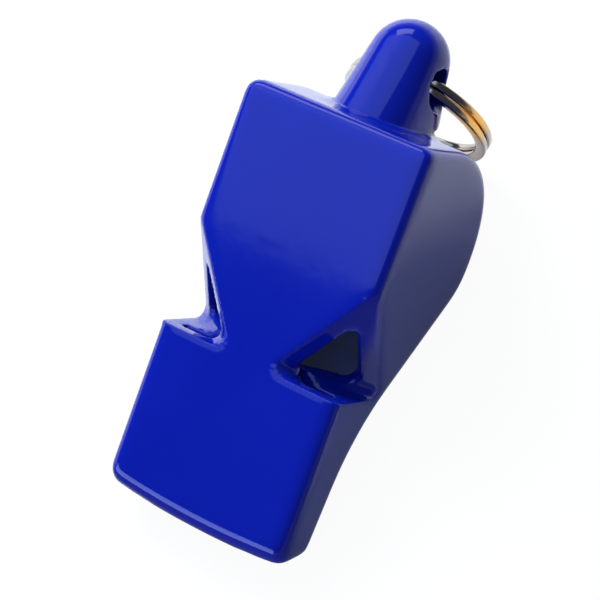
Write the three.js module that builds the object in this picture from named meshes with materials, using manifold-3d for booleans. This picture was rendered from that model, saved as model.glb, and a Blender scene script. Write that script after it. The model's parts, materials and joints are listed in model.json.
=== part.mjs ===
import * as THREE from "three";
import { mergeVertices } from "three/addons/utils/BufferGeometryUtils.js";
import Module from "manifold-3d";

// A pealess whistle with three chambers, moulded in three welded pieces, on a split ring.
// Sizes are in millimetres. In the body's own axes X runs across, Y from the mouth to the lug,
// and Z up from the flat top face. The finished model stands as the whistle lies on a table.

// Outside of the body
const BODY_WIDTH = 20;
const PLATE_LENGTH = 41.65;
const BODY_HEIGHT = 19.8;
const MOUTH_HEIGHT = 6.15;
const MOUTH_TAPER = 4.6;
const MOUTH_SLANT = 0.9;
const MOUTH_CROWN = 0.7;
const CROWN_FADE = 8;
const THROAT_START = 13.65;
const BELLY_SLOPE = 40.9;
const SIDE_EDGE_RADIUS = 1.2;
const REAR_EDGE_RADIUS = 1.3;
const LIP_TOP_RADIUS = 2.1;
const LIP_BOTTOM_RADIUS = 1.3;
const THROAT_RADIUS = 16;
const BELLY_FRONT_RADIUS = 6;
const BELLY_REAR_RADIUS = 10.5;

// Walls and fits
const TOP_WALL = 2;
const SIDE_WALL = 1.6;
const REAR_WALL = 1.6;
const COVER_WALL = 1.3;
const CENTRE_WALL = 1.2;
const DIVIDER_WALL = 1;
const NOTCH_WALL = 1.2;
const WELD_GAP = 0.15;
const COVER_SEAM_ANGLE = 50;

// Side notches and their windows
const MOUTHPIECE_LENGTH = 17.4;
const NOTCH_LENGTH = 11.3;
const NOTCH_DEPTH = 9.3;
const NECK_WIDTH = 4;
const NOTCH_RADIUS = 0.9;
const WINDOW_TOP_RIM = 1.85;
const WINDOW_SIDE_RIM = 2.1;
const WINDOW_FRONT_RIM = 0.95;
const WINDOW_RADIUS = 0.9;

// Air ducts and the lower window
const UPPER_DUCT_HEIGHT = 1.1;
const UPPER_DUCT_EXIT = 4.2;
const LOWER_DUCT_HEIGHT = 0.9;
const LIP_SETBACK = 0.5;
const DIVIDER_DEPTH = 9;
const LOWER_WINDOW_WIDTH = 13;
const LOWER_WINDOW_LENGTH = 4.6;
const LOWER_WINDOW_START = 16.15;
const LOWER_WINDOW_RADIUS = 1;

// Lug and its cross hole
const LUG_LENGTH = 9.7;
const LUG_AXIS_HEIGHT = 8.8;
const LUG_BASE_RADIUS = 5.15;
const LUG_END_RADIUS = 3.8;
const LUG_ROOT_TOP = 7.2;
const LUG_ROOT_RADIUS = 1.2;
const LUG_TIP_LENGTH = 3.8;
const HOLE_RADIUS = 1.9;
const HOLE_SETBACK = 4.4;
const HOLE_CHAMFER = 0.3;

// Split ring
const RING_RADIUS = 7.2;
const WIRE_WIDTH = 1.1;
const WIRE_THICKNESS = 0.75;
const WIRE_CORNER = 0.2;
const TURN_GAP = 0.15;
const RING_CLEARANCE = 0.15;
const RING_CROSSOVER = 40;
const RING_END_GAP = 4;
const RING_CROSSOVER_PLACE = 215;

// Facets
const ARC_STEP = 7;
const EDGE_STEPS = 4;
const LUG_SIDES = 36;
const TIP_STEPS = 8;
const CROWN_STEPS = 16;
const HOLE_SIDES = 24;
const RING_STEP = 6;

// How far cutting tools reach past what they cut: all the way, or just through a face
const REACH = 40;
const OVERCUT = 1;

// How deep the edge of a fillet is let into the wall that it leaves
const FILLET_SINK = 0.05;

const wasm = await Module();
wasm.setup();

const radians = THREE.MathUtils.degToRad;
const X_AXIS = new THREE.Vector3(1, 0, 0);
const Y_AXIS = new THREE.Vector3(0, 1, 0);
const Z_AXIS = new THREE.Vector3(0, 0, 1);

// The sides of the body's cavity stand this far from the middle.
const INNER_HALF_WIDTH = BODY_WIDTH / 2 - SIDE_WALL;
const REAR_WALL_INSIDE = PLATE_LENGTH - REAR_WALL;
const DUCT_FLOOR = -TOP_WALL - UPPER_DUCT_HEIGHT;

// Turns a closed three.js geometry into a solid that can be joined and cut.
function toSolid(geometry) {
  const bare = geometry.clone();
  bare.deleteAttribute("normal");
  bare.deleteAttribute("uv");
  const merged = mergeVertices(bare, 1e-4);
  const mesh = new wasm.Mesh({
    numProp: 3,
    vertProperties: new Float32Array(merged.attributes.position.array),
    triVerts: new Uint32Array(merged.index.array),
  });
  return new wasm.Manifold(mesh);
}

function toGeometry(solid) {
  const { vertProperties, triVerts } = solid.getMesh();
  const geometry = new THREE.BufferGeometry();
  geometry.setAttribute("position", new THREE.BufferAttribute(vertProperties, 3));
  geometry.setIndex(new THREE.BufferAttribute(triVerts, 1));
  geometry.computeVertexNormals();
  return geometry;
}

// The same geometry on the other side of the whistle's middle plane.
function mirrored(geometry) {
  const copy = geometry.index ? geometry.toNonIndexed() : geometry.clone();
  copy.scale(-1, 1, 1);
  const positions = copy.attributes.position;
  const corner = new THREE.Vector3();
  const other = new THREE.Vector3();
  for (let i = 0; i < positions.count; i += 3) {
    corner.fromBufferAttribute(positions, i + 1);
    other.fromBufferAttribute(positions, i + 2);
    positions.setXYZ(i + 1, other.x, other.y, other.z);
    positions.setXYZ(i + 2, corner.x, corner.y, corner.z);
  }
  return copy;
}

// Moves each edge of a counter-clockwise outline inwards by its own distance.
// Edge i runs from point i to the next one.
function insetOutline(points, distances) {
  const lines = points.map((start, i) => {
    const end = points[(i + 1) % points.length];
    const along = end.clone().sub(start).normalize();
    const inwards = new THREE.Vector2(-along.y, along.x);
    return { start: start.clone().addScaledVector(inwards, distances[i]), along };
  });
  return lines.map((line, i) => {
    const before = lines[(i + lines.length - 1) % lines.length];
    const apart = line.start.clone().sub(before.start);
    const travel = apart.cross(line.along) / before.along.cross(line.along);
    return before.start.clone().addScaledVector(before.along, travel);
  });
}

// Rounds each corner of a counter-clockwise outline. A fillet is limited by the edges it joins.
function roundOutline(points, radii) {
  const count = points.length;
  const corners = points.map((point, i) => {
    const before = points[(i + count - 1) % count].clone().sub(point);
    const after = points[(i + 1) % count].clone().sub(point);
    const turn = Math.PI - Math.acos(before.dot(after) / (before.length() * after.length()));
    return { point, before, after, turn, setback: Math.max(radii[i], 0) * Math.tan(turn / 2) };
  });
  const shares = corners.map((corner, i) => {
    const next = corners[(i + 1) % count];
    const wanted = corner.setback + next.setback;
    return wanted > 0 ? Math.min(1, corner.after.length() / wanted) : 1;
  });
  return corners.flatMap(({ point, before, after, turn, setback }, i) => {
    const kept = setback * Math.min(shares[i], shares[(i + count - 1) % count]);
    if (kept < 1e-6) return [point.clone()];
    const start = point.clone().addScaledVector(before, kept / before.length());
    const end = point.clone().addScaledVector(after, kept / after.length());
    const radius = kept / Math.tan(turn / 2);
    const side = Math.sign(after.cross(before));
    const inwards = new THREE.Vector2(before.y, -before.x).normalize().multiplyScalar(side * radius);
    const centre = start.clone().add(inwards);
    const steps = Math.max(2, Math.ceil(THREE.MathUtils.radToDeg(turn) / ARC_STEP));
    const arc = [start];
    for (let k = 1; k < steps; k += 1) {
      arc.push(start.clone().rotateAround(centre, (side * turn * k) / steps));
    }
    arc.push(end);
    return arc;
  });
}

// A prism on a flat outline, between two heights along the third axis of its basis.
function prism(outline, from, to, axes, origin = new THREE.Vector3(), edgeRadius = 0, steps = 1) {
  const geometry = new THREE.ExtrudeGeometry(new THREE.Shape(outline), {
    depth: to - from - 2 * edgeRadius,
    bevelEnabled: edgeRadius > 0,
    bevelThickness: edgeRadius,
    bevelSize: edgeRadius,
    bevelOffset: -edgeRadius,
    bevelSegments: EDGE_STEPS,
    steps,
  });
  geometry.translate(0, 0, from + edgeRadius);
  geometry.applyMatrix4(new THREE.Matrix4().makeBasis(...axes).setPosition(origin));
  return geometry;
}

const ACROSS = [Y_AXIS, Z_AXIS, X_AXIS];
const PLAN = [X_AXIS, Y_AXIS, Z_AXIS];

function acrossPrism(outline, halfWidth) {
  return toSolid(prism(outline, -halfWidth, halfWidth, ACROSS));
}

// Side view of the body, counter-clockwise from the front of the top face: corners and radii
const slope = Math.tan(radians(BELLY_SLOPE));
const throatDepth = MOUTH_HEIGHT + (THROAT_START - MOUTH_SLANT) * Math.tan(radians(MOUTH_TAPER));
const bellyFront = THROAT_START + (BODY_HEIGHT - throatDepth) / slope;
const sideCorners = [
  new THREE.Vector2(0, 0),
  new THREE.Vector2(MOUTH_SLANT, -MOUTH_HEIGHT),
  new THREE.Vector2(THROAT_START, -throatDepth),
  new THREE.Vector2(bellyFront, -BODY_HEIGHT),
  new THREE.Vector2(PLATE_LENGTH, -BODY_HEIGHT),
  new THREE.Vector2(PLATE_LENGTH, 0),
];

// Side view of the body with its skin taken off, for cavities. It reaches past the open front.
function insideOutline(under, rear, top) {
  const corners = insetOutline(sideCorners, [-OVERCUT, under, under, under, rear, top]);
  const radii = [
    0,
    0,
    THROAT_RADIUS + under,
    BELLY_FRONT_RADIUS - under,
    BELLY_REAR_RADIUS - (under + rear) / 2,
    0,
  ];
  return roundOutline(corners, radii);
}

const sideOutline = roundOutline(sideCorners, [
  LIP_TOP_RADIUS,
  LIP_BOTTOM_RADIUS,
  THROAT_RADIUS,
  BELLY_FRONT_RADIUS,
  BELLY_REAR_RADIUS,
  REAR_EDGE_RADIUS,
]);

// Bows the mouth's face: it lies further back towards the sides, and the bow dies out rearwards.
function crowned(geometry) {
  const positions = geometry.attributes.position;
  for (let i = 0; i < positions.count; i += 1) {
    const y = positions.getY(i);
    const across = positions.getX(i) / (BODY_WIDTH / 2);
    const share = THREE.MathUtils.clamp(1 - y / CROWN_FADE, 0, 1);
    positions.setY(i, y + MOUTH_CROWN * across ** 2 * share);
  }
  return geometry;
}

// The outside of the body, in full width or narrower.
function outside(halfWidth, edgeRadius) {
  const centre = new THREE.Vector3();
  return toSolid(crowned(prism(sideOutline, -halfWidth, halfWidth, ACROSS, centre, edgeRadius, CROWN_STEPS)));
}

// A side notch is the wedge of air between the mouthpiece's rear face and a slanting face.
// The slanting face runs through three corners: rear end, neck and deepest point.
const notchRear = new THREE.Vector3(BODY_WIDTH / 2, MOUTHPIECE_LENGTH + NOTCH_LENGTH, 0);
const notchNeck = new THREE.Vector3(NECK_WIDTH / 2, MOUTHPIECE_LENGTH, 0);
const notchBottom = new THREE.Vector3(BODY_WIDTH / 2, MOUTHPIECE_LENGTH, -NOTCH_DEPTH);
const notchRoot = notchBottom.clone().sub(notchNeck).normalize();
const notchOutwards = notchRoot.clone().cross(Y_AXIS);
const notchRise = notchRear.clone().sub(notchNeck);
notchRise.addScaledVector(notchRoot, -notchRise.dot(notchRoot)).normalize();

// The notch, or with a skin, the notch and the wall that lines it.
function notch(skin) {
  const wedge = [
    new THREE.Vector2(0, 0),
    new THREE.Vector2(notchRise.y, notchRise.dot(notchOutwards)).multiplyScalar(REACH),
    new THREE.Vector2(0, REACH),
  ];
  const outline = roundOutline(insetOutline(wedge, [-skin, 0, -skin]), [NOTCH_RADIUS + skin, 0, 0]);
  return prism(outline, -REACH, REACH, [Y_AXIS, notchOutwards, notchRoot], notchNeck);
}

// The three-cornered window through the slanting face.
function sideWindow() {
  const flatten = (point) => {
    const offset = point.clone().sub(notchNeck);
    return new THREE.Vector2(offset.dot(notchRoot), offset.dot(notchRise));
  };
  const face = [notchNeck, notchBottom, notchRear].map(flatten);
  const rims = [WINDOW_FRONT_RIM, WINDOW_SIDE_RIM, WINDOW_TOP_RIM];
  const outline = roundOutline(insetOutline(face, rims), face.map(() => WINDOW_RADIUS));
  const outwards = notchRoot.clone().cross(notchRise);
  const axes = [notchRoot, notchRise, outwards];
  return prism(outline, -NOTCH_WALL - OVERCUT, OVERCUT, axes, notchNeck);
}

// An upper air duct narrows from the mouth to its slot in the notch.
function upperDuct() {
  const plan = [
    new THREE.Vector2(CENTRE_WALL / 2, -OVERCUT),
    new THREE.Vector2(INNER_HALF_WIDTH, -OVERCUT),
    new THREE.Vector2(INNER_HALF_WIDTH, MOUTHPIECE_LENGTH + OVERCUT),
    new THREE.Vector2(UPPER_DUCT_EXIT, MOUTHPIECE_LENGTH + OVERCUT),
  ];
  return prism(plan, DUCT_FLOOR, -TOP_WALL, PLAN);
}

// Both of a pair: the geometry on the right and its mirror image on the left.
function pair(geometry) {
  return toSolid(geometry).add(toSolid(mirrored(geometry)));
}

const linedNotches = pair(notch(NOTCH_WALL));

// The divider's top runs level under the ducts, falls beside the belly's slope, and is level again.
const dividerFrontEnd = MOUTHPIECE_LENGTH - NOTCH_WALL;
const fallOffset = (COVER_WALL + LOWER_DUCT_HEIGHT + DIVIDER_WALL) / Math.cos(radians(BELLY_SLOPE));
const fallTop = -throatDepth - slope * (dividerFrontEnd - THROAT_START) + fallOffset;
const fallEnd = dividerFrontEnd + (DIVIDER_DEPTH + fallTop) / slope;

// What the cover closes, seen from the side: everything under the ducts up to the rear seam.
const seamCentre = new THREE.Vector2(PLATE_LENGTH - BELLY_REAR_RADIUS, BELLY_REAR_RADIUS - BODY_HEIGHT);
function coverSide(clearance) {
  const seam = radians(COVER_SEAM_ANGLE);
  const seamEnd = new THREE.Vector2(Math.cos(seam), -Math.sin(seam)).multiplyScalar(REACH).add(seamCentre);
  const corners = [
    new THREE.Vector2(-REACH, DUCT_FLOOR),
    new THREE.Vector2(-REACH, -2 * REACH),
    new THREE.Vector2(seamEnd.x, -2 * REACH),
    seamEnd,
    seamCentre,
    new THREE.Vector2(dividerFrontEnd, DUCT_FLOOR),
  ];
  return insetOutline(corners, [0, 0, 0, clearance, clearance, clearance]);
}

const holeCentre = new THREE.Vector3(0, PLATE_LENGTH + HOLE_SETBACK, LUG_AXIS_HEIGHT - BODY_HEIGHT);
const lugStraight = LUG_LENGTH - LUG_TIP_LENGTH;
const lugTaper = (LUG_BASE_RADIUS - LUG_END_RADIUS) / lugStraight;
const lugRadiusAtHole = LUG_BASE_RADIUS - lugTaper * HOLE_SETBACK;
const holeNarrowEnd = lugRadiusAtHole - HOLE_CHAMFER;

// Shapes the lug's root, and leaves its end round and straight: the upper half is taller at the root,
// and the root follows the rear wall, which curves forward below.
function shapeRoot(geometry) {
  const positions = geometry.attributes.position;
  for (let i = 0; i < positions.count; i += 1) {
    const y = positions.getY(i);
    const z = positions.getZ(i);
    const above = Math.max(0, z - holeCentre.z);
    const below = Math.max(0, seamCentre.y - z);
    const forward = BELLY_REAR_RADIUS - Math.sqrt(BELLY_REAR_RADIUS ** 2 - below ** 2);
    const share = 1 - (y - PLATE_LENGTH - LUG_ROOT_RADIUS) / (lugStraight - LUG_ROOT_RADIUS);
    const atRoot = THREE.MathUtils.clamp(share, 0, 1);
    positions.setY(i, y - forward * atRoot);
    positions.setZ(i, z + above * (LUG_ROOT_TOP / LUG_BASE_RADIUS - 1) * atRoot);
  }
  return geometry;
}

// The lug is a blunt cone with a rounded tip and a fillet at its root, turned about a line along Y.
function lug() {
  const rootRadius = LUG_BASE_RADIUS + LUG_ROOT_RADIUS;
  const half = [
    new THREE.Vector2(0, -REAR_WALL / 2),
    new THREE.Vector2(rootRadius, -REAR_WALL / 2),
    new THREE.Vector2(rootRadius, -FILLET_SINK),
    new THREE.Vector2(LUG_BASE_RADIUS, -FILLET_SINK),
    new THREE.Vector2(LUG_END_RADIUS, lugStraight),
    new THREE.Vector2(0, lugStraight),
  ];
  const profile = roundOutline(half, [0, 0, 0, LUG_ROOT_RADIUS, 0, 0]).slice(0, -1);
  for (let k = 1; k <= TIP_STEPS; k += 1) {
    const angle = ((Math.PI / 2) * k) / TIP_STEPS;
    const out = k === TIP_STEPS ? 0 : LUG_END_RADIUS * Math.cos(angle);
    profile.push(new THREE.Vector2(out, lugStraight + LUG_TIP_LENGTH * Math.sin(angle)));
  }
  const geometry = new THREE.LatheGeometry(profile, LUG_SIDES);
  geometry.translate(0, PLATE_LENGTH, holeCentre.z);
  return toSolid(shapeRoot(geometry));
}

// The cross hole, with a small chamfer where it leaves the lug on each side.
function crossHole() {
  const wide = HOLE_RADIUS + HOLE_CHAMFER;
  const profile = [
    [0, -REACH],
    [wide, -REACH],
    [wide, -lugRadiusAtHole],
    [HOLE_RADIUS, -holeNarrowEnd],
    [HOLE_RADIUS, holeNarrowEnd],
    [wide, lugRadiusAtHole],
    [wide, REACH],
    [0, REACH],
  ].map(([out, along]) => new THREE.Vector2(out, along));
  const geometry = new THREE.LatheGeometry(profile, HOLE_SIDES);
  geometry.rotateZ(-Math.PI / 2);
  geometry.translate(holeCentre.x, holeCentre.y, holeCentre.z);
  return toSolid(geometry);
}

// The cavity between the side walls, without the middle wall and the walls that line the notches
function shellCavity() {
  const inside = acrossPrism(insideOutline(COVER_WALL, REAR_WALL, TOP_WALL), INNER_HALF_WIDTH);
  const behindMouthpiece = acrossPrism(
    [
      new THREE.Vector2(dividerFrontEnd, REACH),
      new THREE.Vector2(dividerFrontEnd, -REACH),
      new THREE.Vector2(PLATE_LENGTH + REACH, -REACH),
      new THREE.Vector2(PLATE_LENGTH + REACH, REACH),
    ],
    REACH,
  );
  const middleWall = acrossPrism(
    [
      new THREE.Vector2(0, 0),
      new THREE.Vector2(0, DUCT_FLOOR),
      new THREE.Vector2(dividerFrontEnd, DUCT_FLOOR),
      new THREE.Vector2(dividerFrontEnd, fallTop + WELD_GAP),
      new THREE.Vector2(fallEnd, WELD_GAP - DIVIDER_DEPTH),
      new THREE.Vector2(PLATE_LENGTH, WELD_GAP - DIVIDER_DEPTH),
      new THREE.Vector2(PLATE_LENGTH, 0),
    ],
    CENTRE_WALL / 2,
  );
  const underside = acrossPrism(coverSide(0), INNER_HALF_WIDTH);
  return inside.intersect(behindMouthpiece).add(underside).subtract(middleWall).subtract(linedNotches);
}

function whistleShell() {
  return outside(BODY_WIDTH / 2, SIDE_EDGE_RADIUS)
    .add(lug())
    .subtract(shellCavity())
    .subtract(pair(upperDuct()))
    .subtract(pair(notch(0)))
    .subtract(pair(sideWindow()))
    .subtract(crossHole());
}

function chamberDivider() {
  const front = MOUTH_SLANT + MOUTH_CROWN + LIP_SETBACK;
  const rear = REAR_WALL_INSIDE - WELD_GAP;
  const faceEnd = dividerFrontEnd - WELD_GAP;
  const outline = [
    new THREE.Vector2(front, DUCT_FLOOR - WELD_GAP),
    new THREE.Vector2(front, -DIVIDER_DEPTH - DIVIDER_WALL),
    new THREE.Vector2(rear, -DIVIDER_DEPTH - DIVIDER_WALL),
    new THREE.Vector2(rear, -DIVIDER_DEPTH),
    new THREE.Vector2(fallEnd, -DIVIDER_DEPTH),
    new THREE.Vector2(faceEnd, fallTop + slope * WELD_GAP),
    new THREE.Vector2(faceEnd, DUCT_FLOOR - WELD_GAP),
  ];
  const overDuct = insideOutline(COVER_WALL + LOWER_DUCT_HEIGHT, REAR_WALL, TOP_WALL);
  return acrossPrism(outline, INNER_HALF_WIDTH - WELD_GAP)
    .intersect(acrossPrism(overDuct, REACH))
    .subtract(pair(notch(NOTCH_WALL + WELD_GAP)));
}

// The window in the cover, square to the belly's slope just behind the mouthpiece.
function lowerWindow() {
  const across = LOWER_WINDOW_WIDTH / 2;
  const corners = [
    new THREE.Vector2(-across, 0),
    new THREE.Vector2(across, 0),
    new THREE.Vector2(across, LOWER_WINDOW_LENGTH),
    new THREE.Vector2(-across, LOWER_WINDOW_LENGTH),
  ];
  const down = new THREE.Vector3(0, Math.cos(radians(BELLY_SLOPE)), -Math.sin(radians(BELLY_SLOPE)));
  const inwards = X_AXIS.clone().cross(down);
  const depth = throatDepth + slope * (LOWER_WINDOW_START - THROAT_START);
  const origin = new THREE.Vector3(0, LOWER_WINDOW_START, -depth);
  const outline = roundOutline(corners, corners.map(() => LOWER_WINDOW_RADIUS));
  const axes = [X_AXIS, down, inwards];
  return toSolid(prism(outline, -OVERCUT, COVER_WALL + OVERCUT, axes, origin));
}

function bellyCover() {
  return outside(INNER_HALF_WIDTH - WELD_GAP, 0)
    .intersect(acrossPrism(coverSide(WELD_GAP), REACH))
    .subtract(acrossPrism(insideOutline(COVER_WALL, COVER_WALL, TOP_WALL), REACH))
    .subtract(lowerWindow());
}

// The ring hangs low in its hole, and just clears the bottom of the hole's two ends.
const halfBand = WIRE_THICKNESS + TURN_GAP / 2;
const seatInHole = Math.sqrt((HOLE_RADIUS - RING_CLEARANCE) ** 2 - halfBand ** 2);
const insideAtHoleEnd = Math.sqrt((RING_RADIUS - WIRE_WIDTH / 2) ** 2 - holeNarrowEnd ** 2);
const ringDrop = seatInHole + insideAtHoleEnd;

// A flat wire wound in two level turns, with one crossover from the first turn to the second.
function splitRing() {
  const turnOffset = (WIRE_THICKNESS + TURN_GAP) / 2;
  const crossover = radians(RING_CROSSOVER);
  const total = 4 * Math.PI - crossover - radians(RING_END_GAP);
  const steps = Math.round(total / radians(RING_STEP));
  const start = radians(RING_CROSSOVER_PLACE);
  const wide = WIRE_WIDTH / 2;
  const thick = WIRE_THICKNESS / 2;
  const section = [
    [wide, thick - WIRE_CORNER],
    [wide - WIRE_CORNER, thick],
    [WIRE_CORNER - wide, thick],
    [-wide, thick - WIRE_CORNER],
    [-wide, WIRE_CORNER - thick],
    [WIRE_CORNER - wide, -thick],
    [wide - WIRE_CORNER, -thick],
    [wide, WIRE_CORNER - thick],
  ];
  const positions = [];
  const indices = [];
  for (let i = 0; i <= steps; i += 1) {
    const angle = (total * i) / steps;
    const crossed = THREE.MathUtils.smoothstep(angle, 2 * Math.PI - crossover, 2 * Math.PI);
    const level = turnOffset * (2 * crossed - 1);
    for (const [outwards, along] of section) {
      const radius = RING_RADIUS + outwards;
      positions.push(radius * Math.cos(start + angle), level + along, radius * Math.sin(start + angle));
    }
  }
  const sides = section.length;
  for (let i = 0; i < steps; i += 1) {
    for (let k = 0; k < sides; k += 1) {
      const a = i * sides + k;
      const b = i * sides + ((k + 1) % sides);
      indices.push(a, b, b + sides, a, b + sides, a + sides);
    }
  }
  const last = steps * sides;
  for (let k = 1; k < sides - 1; k += 1) {
    indices.push(0, k + 1, k, last, last + k, last + k + 1);
  }
  const geometry = new THREE.BufferGeometry();
  geometry.setAttribute("position", new THREE.BufferAttribute(new Float32Array(positions), 3));
  geometry.setIndex(indices);
  geometry.computeVertexNormals();
  return geometry;
}

// The angle at which the whistle lies on a table, nose down, on its belly and its lower lip.
function restTilt() {
  const lip = sideOutline.filter((point) => point.x < THROAT_START);
  const belly = sideOutline.filter((point) => point.x > THROAT_START);
  const drop = (low, high) => Math.atan2(high.y - low.y, low.x - high.x);
  return Math.max(...belly.map((low) => Math.min(...lip.map((high) => drop(low, high)))));
}

function namedMesh(name, geometry, material) {
  const mesh = new THREE.Mesh(geometry, material);
  mesh.name = name;
  return mesh;
}

const bluePlastic = new THREE.MeshStandardMaterial({ color: 0x1a2bb4, roughness: 0.25, metalness: 0 });
const innerPlastic = new THREE.MeshStandardMaterial({ color: 0x141f86, roughness: 0.35, metalness: 0 });
const nickel = new THREE.MeshStandardMaterial({ color: 0xb9b4ae, roughness: 0.25, metalness: 1 });

const tilt = restTilt();
const body = new THREE.Group();
body.rotation.x = tilt;
body.add(namedMesh("whistle_shell", toGeometry(whistleShell()), bluePlastic));
body.add(namedMesh("chamber_divider", toGeometry(chamberDivider()), innerPlastic));
body.add(namedMesh("belly_cover", toGeometry(bellyCover()), bluePlastic));

// The ring hangs straight down whatever the tilt of the body.
const hanger = new THREE.Group();
hanger.position.copy(holeCentre);
hanger.rotation.x = -tilt;
const ring = namedMesh("split_ring", splitRing(), nickel);
ring.position.z = -ringDrop;
hanger.add(ring);
body.add(hanger);

// The origin is on the table, under the middle of the whole object.
const whistle = new THREE.Group();
whistle.add(body);
whistle.updateMatrixWorld(true);
const bounds = new THREE.Box3().setFromObject(whistle, true);
const middle = bounds.getCenter(new THREE.Vector3());
whistle.position.set(-middle.x, -middle.y, -bounds.min.z);
whistle.updateMatrixWorld(true);

export default whistle;
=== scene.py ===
import json
import math

import bmesh
import bpy
import numpy as np
from mathutils import Matrix, Vector


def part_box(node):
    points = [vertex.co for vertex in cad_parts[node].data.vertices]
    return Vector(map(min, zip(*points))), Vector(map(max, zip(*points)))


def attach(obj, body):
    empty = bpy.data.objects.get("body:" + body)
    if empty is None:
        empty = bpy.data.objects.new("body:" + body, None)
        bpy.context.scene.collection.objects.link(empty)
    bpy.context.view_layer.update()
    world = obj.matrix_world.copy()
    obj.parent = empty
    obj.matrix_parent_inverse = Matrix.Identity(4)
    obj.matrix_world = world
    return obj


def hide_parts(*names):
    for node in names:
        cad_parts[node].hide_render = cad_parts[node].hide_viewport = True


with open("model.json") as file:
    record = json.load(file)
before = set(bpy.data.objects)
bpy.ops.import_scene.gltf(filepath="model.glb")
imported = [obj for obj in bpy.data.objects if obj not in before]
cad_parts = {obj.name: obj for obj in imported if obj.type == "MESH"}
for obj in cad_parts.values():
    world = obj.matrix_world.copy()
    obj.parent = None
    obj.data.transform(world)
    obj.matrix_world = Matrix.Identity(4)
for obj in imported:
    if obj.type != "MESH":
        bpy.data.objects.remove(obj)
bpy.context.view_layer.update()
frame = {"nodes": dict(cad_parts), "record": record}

# A pealess whistle of blue plastic with a nickel split ring, on a white studio table.
# Lengths are in metres, except where a comment says millimetres. Colours are linear.

MM = 0.001

# The body's own axes: x across, y from the mouth to the lug, z up from the flat top face
TOP_MOUNT = next(m for m in frame["record"]["mounts"] if m["name"] == "top_face")
TOP_MOUNT_FROM_MOUTH = 33.55 * MM
BODY_X = Vector((1, 0, 0))
BODY_Z = Vector(TOP_MOUNT["axis"]).normalized()
BODY_Y = BODY_Z.cross(BODY_X)
BODY_ORIGIN = Vector(TOP_MOUNT["pos_m"]) - BODY_Y * TOP_MOUNT_FROM_MOUTH

# The camera, in the body's own axes
CAMERA_PLACE = Vector((78.97, 59.76, 172.94)) * MM
CAMERA_TARGET = Vector((2.87, 24.66, 0)) * MM
CAMERA_UP = Vector((-0.3851, 0.9227, -0.0178))
LENS = 128.06
SENSOR = 36
CLIP_START = 5 * MM

# How far a point moves towards the mean of its neighbours in one round of smoothing
SMOOTHING_SHARE = 0.5

# The rounding of a moulded piece's edges
SHELL_VOXEL = 0.17 * MM
SHELL_ROUNDS = 5
MERGE_DISTANCE = 1e-7

# Facets are evened out in full where the surface bends less than EVEN_BEND over one voxel,
# and not at all from EDGE_BEND, in millimetres. An edge's bend reaches its neighbours first.
EVEN_BEND = 0.0077
EDGE_BEND = 0.0154
BEND_ROUNDS = 3
EVEN_ROUNDS = 36

# The lug as the CAD solid has it, in millimetres along the body's own axes: its root along y,
# its axis along z, its radius at the root and at the tip, the length of its straight part,
# the height of its upper half at the root, and the fillet there
LUG_ROOT = 41.65
LUG_AXIS = -11.0
CAD_LUG_BASE = 5.15
CAD_LUG_END = 3.8
CAD_LUG_STRAIGHT = 5.9
CAD_LUG_TOP = 7.2
CAD_LUG_FILLET = 1.2

# The moulded lug, in millimetres: straight sides from the root that run into a round tip
LUG_SIDE = 5.05
LUG_TOP = 6.7
LUG_TIP_RADIUS = 3.9
LUG_TIP_CENTRE = 5.8
LUG_FILLET = 0.2
STEEPEST_SIDE = math.radians(60)
BISECTIONS = 40
# The share of the tip's radius past its centre from which points lie on the tip's sphere
TIP_SHARE = 0.6
# The least half width and the least length that anything is divided by
LEAST_WIDTH = 0.01
LEAST_LENGTH = 1e-6

# The points that may move, in millimetres: from behind the root, to each side, below the top
LUG_ZONE_START = -0.6
LUG_ZONE_SIDE = 9
LUG_ZONE_TOP = -1.5
# Fades, each between two distances in millimetres: off the CAD face, for the points that lie
# on it and for those that go with it, along the lug from its root, and up from its axis
ON_FACE_FADE = (0.06, 0.35)
NEAR_FACE_FADE = (0.9, 1.8)
ROOT_FADE = (0.0, 0.22)
UNDERSIDE_FADE = (-3.5, -1.5)
SMOOTHING_FADE = (-0.2, 0.2)
LUG_ROUNDS = 4

# The ring's wire, as the CAD ring winds it: two turns side by side along Y
RING_LOW, RING_HIGH = (Vector(corner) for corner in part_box("split_ring"))
RING_CENTRE = (RING_LOW + RING_HIGH) / 2
RING_OUTSIDE = (RING_HIGH.x - RING_LOW.x) / 2
WIRE_WIDTH = 1.1 * MM
WIRE_THICKNESS = 0.75 * MM
WIRE_CORNER = 0.26 * MM
TURN_GAP = 0.15 * MM
TURNS = 2
CROSSOVER = math.radians(40)
CROSSOVER_PLACE = math.radians(215)
END_GAP = math.radians(4)
WIRE_STEP = math.radians(2.5)
CORNER_POINTS = 5

# The octaves of a plain noise and of a finer one
PLAIN_DETAIL = 2
FINE_DETAIL = 3

# The blue plastic of the shell and the cover
PLASTIC_BLUES = (0.001, 0.009, 0.305), (0.003, 0.014, 0.355)
PLASTIC_ROUGHNESS = (0.05, 0.1)
PLASTIC_CLOUD_SCALE = 90
PLASTIC_GRAIN_SCALE = 2600
WAVE_SCALE = 420
WAVE_DEPTH = 0.006 * MM
PLASTIC_IOR = 1.5

# The duller plastic inside, with a faint painted glow that stands in for the light that passes
# through the walls and bounces inside
INNER_BLUES = (0.03, 0.045, 0.24), (0.045, 0.06, 0.3)
INNER_ROUGHNESS = (0.25, 0.4)
INNER_CLOUD_SCALE = 120
INNER_GRAIN_SCALE = 1500
INNER_PAINTED_GLOW = (0.3, 0.42, 0.7)
INNER_PAINTED_GLOW_STRENGTH = 0.025
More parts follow.
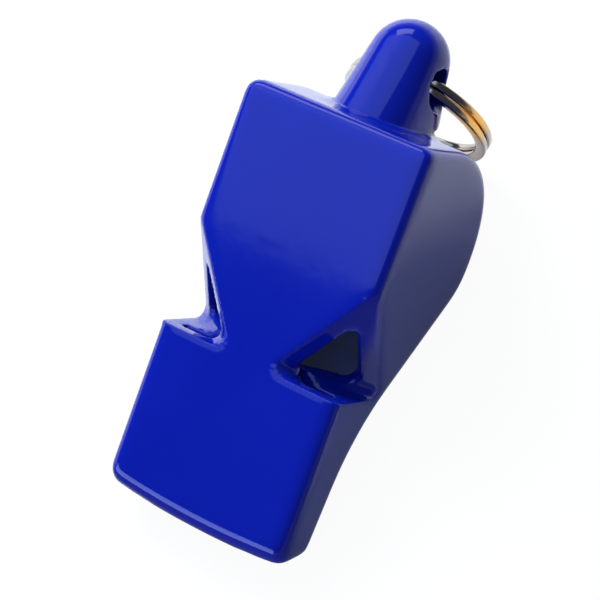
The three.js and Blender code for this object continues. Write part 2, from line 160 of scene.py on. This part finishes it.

# The nickel plate, and a painted golden reflection, a brassy glint at one place on the ring: in
# full within the smaller of the two reaches from that place, and fading out up to the larger
NICKEL_TONES = (0.42, 0.33, 0.26), (0.68, 0.62, 0.56)
NICKEL_ROUGHNESS = (0.06, 0.14)
NICKEL_CLOUD_SCALE = 260
NICKEL_GRAIN_SCALE = 1200
GOLDEN_GLINT = (0.9, 0.5, 0.14)
GOLDEN_GLINT_PLACE = RING_CENTRE + Vector((6.6, -0.3, 2.7)) * MM
GOLDEN_GLINT_REACH = 3.4 * MM
GOLDEN_GLINT_CORE = 0.2 * GOLDEN_GLINT_REACH

# The table's colour in diffuse light and in reflections
FLOOR_SIZE = 3.0
TABLE = (0.45, 0.45, 0.45)
GLOSSY_TABLE = (0.8, 0.8, 0.8)
# In reflections a patch of the table in front of the whistle is painted dark, a painted dark
# reflection. Its edge slants:
# the table comes back along this direction, between these distances from the middle.
DARK_REFLECTION_COLOUR = (0.06, 0.06, 0.06)
DARK_REFLECTION_DIRECTION = (-0.25, 1, 0)
DARK_REFLECTION_FULL = -28.5 * MM
DARK_REFLECTION_END = -20.5 * MM
# The table's own glow, and its share in what each kind of ray sees of the table
WHITE = (1, 1, 1)
GLOW = 1.08
GLOW_SHARES = [("Is Camera Ray", 0.88), ("Is Glossy Ray", 0.1)]

# The studio around the whistle: its light by height, from the horizon to overhead
STUDIO_LEVELS = [(0.0, 0.4), (0.06, 0.35), (0.2, 0.06), (1.0, 0.05)]

# The soft boxes and the key lamp: name, place, the way that it faces, width, height, radiance,
# tint, and whether reflections show it. The tints are daylight from a clear sky.
DAYLIGHT = (0.82, 1.12, 1.45)
BLUE_SKY = (0.7, 0.92, 1.9)
LAMPS = [
    ("overhead_box", (-0.4525, 0.05, 0.6), (0, 0, -1), 1.505, 0.976, 0.6, DAYLIGHT, True),
    ("rear_box", (-0.25, 0.44, 0.32), (0.41, -0.74, -0.54), 0.34, 0.2, 2.2, WHITE, True),
    ("front_box", (-0.22, -0.5, 0.125), (0.4, 0.9, -0.2), 0.6, 0.21, 2.6, BLUE_SKY, True),
    ("left_box", (-0.7, 0, 0.06), (1, 0, -0.1), 0.8, 0.12, 1.0, WHITE, True),
    ("key_lamp", (-0.14, 0.1, 0.2), (0.14, -0.1, -0.19), 0.12, 0.12, 17.0, WHITE, False),
]


def in_frame(point):
    """A point given in the body's own axes, in the frame."""
    return BODY_ORIGIN + direction_in_frame(point)


def direction_in_frame(vector):
    return BODY_X * vector.x + BODY_Y * vector.y + BODY_Z * vector.z


def new_object(name, data):
    item = bpy.data.objects.new(name, data)
    bpy.context.scene.collection.objects.link(item)
    return item


def new_tree(owner):
    """The empty node tree of a material or a world."""
    owner.use_nodes = True
    owner.node_tree.nodes.clear()
    return owner.node_tree


def new_material(name):
    """A material with a Principled shader, as (material, node tree, shader)."""
    material = bpy.data.materials.new(name)
    tree = new_tree(material)
    output = tree.nodes.new("ShaderNodeOutputMaterial")
    shader = tree.nodes.new("ShaderNodeBsdfPrincipled")
    tree.links.new(shader.outputs["BSDF"], output.inputs["Surface"])
    return material, tree, shader


def noise(tree, scale, detail=PLAIN_DETAIL):
    """The value of a noise with features about 1 / scale metres across."""
    coordinates = tree.nodes.new("ShaderNodeTexCoord")
    texture = tree.nodes.new("ShaderNodeTexNoise")
    texture.inputs["Scale"].default_value = scale
    texture.inputs["Detail"].default_value = detail
    tree.links.new(coordinates.outputs["Object"], texture.inputs["Vector"])
    return texture.outputs["Fac"]


def place_measure(tree, operation, vector):
    """Each place's DISTANCE from a point of the object, or its DOT_PRODUCT with a direction."""
    coordinates = tree.nodes.new("ShaderNodeTexCoord")
    node = tree.nodes.new("ShaderNodeVectorMath")
    node.operation = operation
    node.inputs[1].default_value = vector
    tree.links.new(coordinates.outputs["Object"], node.inputs[0])
    return node.outputs["Value"]


def spread(tree, value, low, high):
    """A value from 0 to 1 mapped onto a range."""
    node = tree.nodes.new("ShaderNodeMapRange")
    node.inputs["To Min"].default_value = low
    node.inputs["To Max"].default_value = high
    tree.links.new(value, node.inputs["Value"])
    return node.outputs["Result"]


def fade(tree, value, start, end):
    """A smooth step from 0 at the start to 1 at the end."""
    node = tree.nodes.new("ShaderNodeMapRange")
    node.interpolation_type = "SMOOTHSTEP"
    node.inputs["From Min"].default_value = start
    node.inputs["From Max"].default_value = end
    tree.links.new(value, node.inputs["Value"])
    return node.outputs["Result"]


def blend_colours(tree, share, first, second):
    """The first colour turning into the second. Each is a plain colour or a node's output."""
    mix = tree.nodes.new("ShaderNodeMix")
    mix.data_type = "RGBA"
    for name, colour in (("A", first), ("B", second)):
        if isinstance(colour, bpy.types.NodeSocket):
            tree.links.new(colour, mix.inputs[name])
        else:
            mix.inputs[name].default_value = (*colour, 1)
    tree.links.new(share, mix.inputs["Factor"])
    return mix.outputs["Result"]


def blend_shaders(tree, share, first, second):
    mix = tree.nodes.new("ShaderNodeMixShader")
    tree.links.new(share, mix.inputs["Fac"])
    tree.links.new(first, mix.inputs[1])
    tree.links.new(second, mix.inputs[2])
    return mix.outputs["Shader"]


def bump(tree, shader, value, depth):
    node = tree.nodes.new("ShaderNodeBump")
    node.inputs["Strength"].default_value = 1.0
    node.inputs["Distance"].default_value = depth
    tree.links.new(value, node.inputs["Height"])
    tree.links.new(node.outputs["Normal"], shader.inputs["Normal"])


def blue_plastic():
    material, tree, shader = new_material("blue_plastic")
    colour = blend_colours(tree, noise(tree, PLASTIC_CLOUD_SCALE), *PLASTIC_BLUES)
    grain = noise(tree, PLASTIC_GRAIN_SCALE, FINE_DETAIL)
    tree.links.new(colour, shader.inputs["Base Color"])
    tree.links.new(spread(tree, grain, *PLASTIC_ROUGHNESS), shader.inputs["Roughness"])
    bump(tree, shader, noise(tree, WAVE_SCALE), WAVE_DEPTH)
    shader.inputs["IOR"].default_value = PLASTIC_IOR
    return material


def inner_plastic():
    material, tree, shader = new_material("inner_plastic")
    colour = blend_colours(tree, noise(tree, INNER_CLOUD_SCALE), *INNER_BLUES)
    grain = noise(tree, INNER_GRAIN_SCALE)
    tree.links.new(colour, shader.inputs["Base Color"])
    tree.links.new(spread(tree, grain, *INNER_ROUGHNESS), shader.inputs["Roughness"])
    shader.inputs["IOR"].default_value = PLASTIC_IOR
    # A painted glow: a faint emission that stands in for the light inside the chamber
    shader.inputs["Emission Color"].default_value = (*INNER_PAINTED_GLOW, 1)
    shader.inputs["Emission Strength"].default_value = INNER_PAINTED_GLOW_STRENGTH
    return material


def nickel():
    material, tree, shader = new_material("nickel")
    plate = blend_colours(tree, noise(tree, NICKEL_CLOUD_SCALE, FINE_DETAIL), *NICKEL_TONES)
    # A painted golden reflection: the plate turns brassy near one place on the ring
    from_glint = place_measure(tree, "DISTANCE", GOLDEN_GLINT_PLACE)
    colour = blend_colours(tree, fade(tree, from_glint, GOLDEN_GLINT_REACH, GOLDEN_GLINT_CORE), plate, GOLDEN_GLINT)
    grain = noise(tree, NICKEL_GRAIN_SCALE)
    tree.links.new(colour, shader.inputs["Base Color"])
    tree.links.new(spread(tree, grain, *NICKEL_ROUGHNESS), shader.inputs["Roughness"])
    shader.inputs["Metallic"].default_value = 1.0
    return material


def dress(piece, material):
    piece.data.materials.clear()
    piece.data.materials.append(material)


def softened(node, name):
    """A copy of a CAD node's mesh with the edges rounded as a mould leaves them."""
    piece = frame["nodes"][node].copy()
    piece.data = frame["nodes"][node].data.copy()
    piece.name = name
    piece.parent = None
    for key in list(piece.keys()):
        if key.startswith("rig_"):
            del piece[key]
    bpy.context.scene.collection.objects.link(piece)
    work = bmesh.new()
    work.from_mesh(piece.data)
    bmesh.ops.remove_doubles(work, verts=work.verts, dist=MERGE_DISTANCE)
    work.to_mesh(piece.data)
    work.free()
    remesh = piece.modifiers.new("remesh", "REMESH")
    remesh.mode = "VOXEL"
    remesh.voxel_size = SHELL_VOXEL
    remesh.use_smooth_shade = True
    smooth = piece.modifiers.new("smooth", "SMOOTH")
    smooth.factor = SMOOTHING_SHARE
    smooth.iterations = SHELL_ROUNDS
    depsgraph = bpy.context.evaluated_depsgraph_get()
    mesh = bpy.data.meshes.new_from_object(piece.evaluated_get(depsgraph))
    piece.modifiers.clear()
    piece.data = mesh
    mesh.name = name
    return piece


def points_of(mesh):
    """The mesh's vertices as rows of x, y and z."""
    points = np.empty(len(mesh.vertices) * 3)
    mesh.vertices.foreach_get("co", points)
    return points.reshape(-1, 3)


def move_points(mesh, points):
    mesh.vertices.foreach_set("co", points.ravel())
    mesh.update()


def edge_ends(mesh):
    """The mesh's edges as rows of two vertex numbers."""
    ends = np.empty(len(mesh.edges) * 2, dtype=np.int64)
    mesh.edges.foreach_get("vertices", ends)
    return ends.reshape(-1, 2)


def neighbour_mean(values, ends):
    """The mean of each vertex's neighbours, for one column of values or several."""
    first, second = ends[:, 0], ends[:, 1]
    count = len(values)
    degree = np.bincount(first, minlength=count) + np.bincount(second, minlength=count)
    sums = [
        np.bincount(first, column[second], count) + np.bincount(second, column[first], count)
        for column in values.reshape(count, -1).T
    ]
    return (np.array(sums) / np.maximum(degree, 1)).T.reshape(values.shape)


def relax(points, ends, share, rounds):
    """Moves each point its share of the way to its neighbours' mean, round after round."""
    for _ in range(rounds):
        points = points + (neighbour_mean(points, ends) - points) * share[:, None]
    return points


def smooth_step(low, high, value):
    share = np.clip((value - low) / (high - low), 0, 1)
    return share * share * (3 - 2 * share)


def even_out(mesh):
    """Takes the CAD solid's facets off the curved faces and leaves the edges crisp."""
    points = points_of(mesh) / MM
    ends = edge_ends(mesh)
    bend = np.linalg.norm(neighbour_mean(points, ends) - points, axis=1)
    for _ in range(BEND_ROUNDS):
        bend = np.maximum(bend, neighbour_mean(bend, ends))
    share = SMOOTHING_SHARE * (1 - smooth_step(EVEN_BEND, EDGE_BEND, bend))
    move_points(mesh, relax(points, ends, share, EVEN_ROUNDS) * MM)


def root_flare(radius, along):
    """How far a fillet at the root stands out at a distance along the lug."""
    left = np.clip(radius - along, 0, radius)
    return radius - np.sqrt(radius * radius - left * left)


def tangent_profile(base, along):
    """A straight side from the root that runs into the round tip without a corner."""
    low, high = 0.0, STEEPEST_SIDE
    for _ in range(BISECTIONS):
        middle = (low + high) / 2
        if LUG_TIP_RADIUS / math.cos(middle) + LUG_TIP_CENTRE * math.tan(middle) < base:
            low = middle
        else:
            high = middle
    side = base - along * math.tan(low)
    tip = np.sqrt(np.clip(LUG_TIP_RADIUS ** 2 - (along - LUG_TIP_CENTRE) ** 2, 0, None))
    meeting = LUG_TIP_CENTRE + LUG_TIP_RADIUS * math.sin(low)
    return np.where(along < meeting, side, tip)


def gap_to_cad_lug(x, z, along):
    """How far points are outside the CAD solid's lug."""
    past_fillet = (along - CAD_LUG_FILLET) / (CAD_LUG_STRAIGHT - CAD_LUG_FILLET)
    rise = (CAD_LUG_TOP / CAD_LUG_BASE - 1) * np.clip(1 - past_fillet, 0, 1)
    reach = np.hypot(x, z / np.where(z > 0, 1 + rise, 1))
    side = CAD_LUG_BASE - along * (CAD_LUG_BASE - CAD_LUG_END) / CAD_LUG_STRAIGHT
    return np.where(
        along > CAD_LUG_STRAIGHT,
        np.hypot(along - CAD_LUG_STRAIGHT, reach) - CAD_LUG_END,
        reach - side - root_flare(CAD_LUG_FILLET, along),
    )


def gap_to_moulded_lug(x, z, along):
    """How far points are outside the moulded lug, and the way out of it at each."""
    flare = root_flare(LUG_FILLET, along)
    side = tangent_profile(LUG_SIDE, along) + flare
    top = np.where(z > 0, tangent_profile(LUG_TOP, along) + flare, side)
    ratio = np.where(side > LEAST_WIDTH, top / np.maximum(side, LEAST_WIDTH), 1)
    on_tip = along > LUG_TIP_CENTRE + TIP_SHARE * LUG_TIP_RADIUS
    gap = np.where(
        on_tip,
        np.hypot(along - LUG_TIP_CENTRE, np.hypot(x, z)) - LUG_TIP_RADIUS,
        np.hypot(x, z / ratio) - side,
    )
    out = np.stack([x, np.where(on_tip, along - LUG_TIP_CENTRE, 0), z / ratio ** 2], axis=1)
    return gap, out / np.maximum(np.linalg.norm(out, axis=1), LEAST_LENGTH)[:, None]


def mould_lug(mesh):
    """Moves the lug's outer face onto the moulded form, which has no facets and no waist."""
    axes = np.array([tuple(BODY_X), tuple(BODY_Y), tuple(BODY_Z)])
    body = (points_of(mesh) - np.array(BODY_ORIGIN)) @ axes.T / MM
    x, y, height = body.T
    along = y - LUG_ROOT
    z = height - LUG_AXIS
    zone = (along > LUG_ZONE_START) & (np.abs(x) < LUG_ZONE_SIDE) & (height < LUG_ZONE_TOP)

    cad_gap = gap_to_cad_lug(x, z, along)
    gap, out = gap_to_moulded_lug(x, z, along)
    on_face = 1 - smooth_step(*ON_FACE_FADE, np.abs(cad_gap))
    near_face = 1 - smooth_step(*NEAR_FACE_FADE, np.abs(cad_gap))
    window = smooth_step(*ROOT_FADE, along) * smooth_step(*UNDERSIDE_FADE, z) * zone
    move = window * ((gap - cad_gap) * near_face + cad_gap * on_face)
    body = body - out * move[:, None]

    share = SMOOTHING_SHARE * smooth_step(*SMOOTHING_FADE, along) * zone
    body = relax(body, edge_ends(mesh), share, LUG_ROUNDS)
    move_points(mesh, body * MM @ axes + np.array(BODY_ORIGIN))


def wire_section():
    """The wire's outline, a rectangle with round corners: (outwards, along) pairs."""
    outwards = WIRE_WIDTH / 2 - WIRE_CORNER
    along = WIRE_THICKNESS / 2 - WIRE_CORNER
    points = []
    for corner, (sign_out, sign_along) in enumerate([(1, 1), (-1, 1), (-1, -1), (1, -1)]):
        for step in range(CORNER_POINTS):
            angle = math.tau / 4 * (corner + step / (CORNER_POINTS - 1))
            points.append((
                sign_out * outwards + WIRE_CORNER * math.cos(angle),
                sign_along * along + WIRE_CORNER * math.sin(angle),
            ))
    return points


def wound_ring(name):
    """The split ring's wire, swept in fine steps through its turns where the CAD ring lies."""
    section = wire_section()
    total = TURNS * math.tau - CROSSOVER - END_GAP
    steps = round(total / WIRE_STEP)
    work = bmesh.new()
    loops = []
    for i in range(steps + 1):
        angle = total * i / steps
        crossed = float(smooth_step(math.tau - CROSSOVER, math.tau, angle))
        level = (WIRE_THICKNESS + TURN_GAP) / 2 * (2 * crossed - 1)
        turned = CROSSOVER_PLACE + angle
        loop = []
        for outwards, along in section:
            reach = RING_OUTSIDE - WIRE_WIDTH / 2 + outwards
            offset = (reach * math.cos(turned), level + along, reach * math.sin(turned))
            loop.append(work.verts.new(RING_CENTRE + Vector(offset)))
        loops.append(loop)
    sides = len(section)
    for first, second in zip(loops, loops[1:]):
        for k in range(sides):
            after = (k + 1) % sides
            work.faces.new((first[k], first[after], second[after], second[k]))
    work.faces.new(tuple(reversed(loops[0])))
    work.faces.new(tuple(loops[-1]))
    bmesh.ops.recalc_face_normals(work, faces=work.faces)
    mesh = bpy.data.meshes.new(name)
    work.to_mesh(mesh)
    work.free()
    # The wire's two ends stay flat
    for face in mesh.polygons:
        face.use_smooth = len(face.vertices) < sides
    return new_object(name, mesh)


def add_camera():
    place = in_frame(CAMERA_PLACE)
    back = (place - in_frame(CAMERA_TARGET)).normalized()
    right = direction_in_frame(CAMERA_UP).cross(back).normalized()
    turn = Matrix((right, back.cross(right), back)).transposed().to_4x4()
    data = bpy.data.cameras.new("camera")
    data.lens = LENS
    data.sensor_width = SENSOR
    data.clip_start = CLIP_START
    item = new_object("camera", data)
    item.matrix_world = Matrix.Translation(place) @ turn
    bpy.context.scene.camera = item


def white_table():
    """White to the camera but for the shadow, plain in diffuse light, and with a painted dark
    reflection in front of the whistle."""
    material = bpy.data.materials.new("white_table")
    tree = new_tree(material)
    output = tree.nodes.new("ShaderNodeOutputMaterial")
    path = tree.nodes.new("ShaderNodeLightPath")
    # A painted dark reflection: in reflections the table turns dark in front of the whistle
    ahead = place_measure(tree, "DOT_PRODUCT", DARK_REFLECTION_DIRECTION)
    past_dark_reflection = fade(tree, ahead, DARK_REFLECTION_FULL, DARK_REFLECTION_END)
    reflected = blend_colours(tree, past_dark_reflection, DARK_REFLECTION_COLOUR, GLOSSY_TABLE)
    colour = blend_colours(tree, path.outputs["Is Glossy Ray"], TABLE, reflected)
    diffuse = tree.nodes.new("ShaderNodeBsdfDiffuse")
    tree.links.new(colour, diffuse.inputs["Color"])
    glow = tree.nodes.new("ShaderNodeEmission")
    glow.inputs["Color"].default_value = (*WHITE, 1)
    glow.inputs["Strength"].default_value = GLOW
    share = tree.nodes.new("ShaderNodeMath")
    share.operation = "ADD"
    for socket, (ray, glow_share) in zip(share.inputs, GLOW_SHARES):
        tree.links.new(spread(tree, path.outputs[ray], 0, glow_share), socket)
    surface = blend_shaders(
        tree, share.outputs["Value"], diffuse.outputs["BSDF"], glow.outputs["Emission"]
    )
    tree.links.new(surface, output.inputs["Surface"])
    return material


def add_floor():
    work = bmesh.new()
    bmesh.ops.create_grid(work, x_segments=1, y_segments=1, size=FLOOR_SIZE / 2)
    mesh = bpy.data.meshes.new("table_top")
    work.to_mesh(mesh)
    work.free()
    mesh.materials.append(white_table())
    item = new_object("table_top", mesh)


def add_world():
    """White to the camera, and to the object a dim studio with a bright horizon."""
    world = bpy.data.worlds.new("studio")
    tree = new_tree(world)
    output = tree.nodes.new("ShaderNodeOutputWorld")
    path = tree.nodes.new("ShaderNodeLightPath")
    coordinates = tree.nodes.new("ShaderNodeTexCoord")
    parts = tree.nodes.new("ShaderNodeSeparateXYZ")
    ramp = tree.nodes.new("ShaderNodeValToRGB")
    elements = ramp.color_ramp.elements
    for height, _ in STUDIO_LEVELS[1:-1]:
        elements.new(height)
    for element, (height, level) in zip(elements, STUDIO_LEVELS):
        element.position = height
        element.color = (level, level, level, 1)
    studio = tree.nodes.new("ShaderNodeBackground")
    white = tree.nodes.new("ShaderNodeBackground")
    white.inputs["Color"].default_value = (*WHITE, 1)
    tree.links.new(coordinates.outputs["Generated"], parts.inputs[0])
    tree.links.new(parts.outputs["Z"], ramp.inputs["Fac"])
    tree.links.new(ramp.outputs["Color"], studio.inputs["Color"])
    seen = path.outputs["Is Camera Ray"]
    surface = blend_shaders(
        tree, seen, studio.outputs["Background"], white.outputs["Background"]
    )
    tree.links.new(surface, output.inputs["Surface"])
    bpy.context.scene.world = world


def add_lamp(name, place, facing, width, height, radiance, tint, mirrored):
    data = bpy.data.lights.new(name, "AREA")
    data.shape = "RECTANGLE"
    data.size = width
    data.size_y = height
    data.energy = radiance * math.pi * width * height
    data.color = tint
    item = new_object(name, data)
    item.location = place
    item.rotation_mode = "QUATERNION"
    item.rotation_quaternion = (-Vector(facing)).to_track_quat("Z", "Y")
    item.visible_glossy = mirrored


add_camera()
add_floor()
add_world()
for lamp in LAMPS:
    add_lamp(*lamp)

plastic = blue_plastic()
shell = softened("whistle_shell", "moulded_shell")
even_out(shell.data)
mould_lug(shell.data)
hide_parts("whistle_shell")
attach(shell, "whistle_body")
dress(shell, plastic)

cover = softened("belly_cover", "moulded_cover")
even_out(cover.data)
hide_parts("belly_cover")
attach(cover, "whistle_body")
dress(cover, plastic)

divider = frame["nodes"]["chamber_divider"]
dress(divider, inner_plastic())

ring = wound_ring("wound_ring")
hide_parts("split_ring")
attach(ring, "ring")
dress(ring, nickel())

scene = bpy.context.scene
scene.view_settings.view_transform = "Standard"
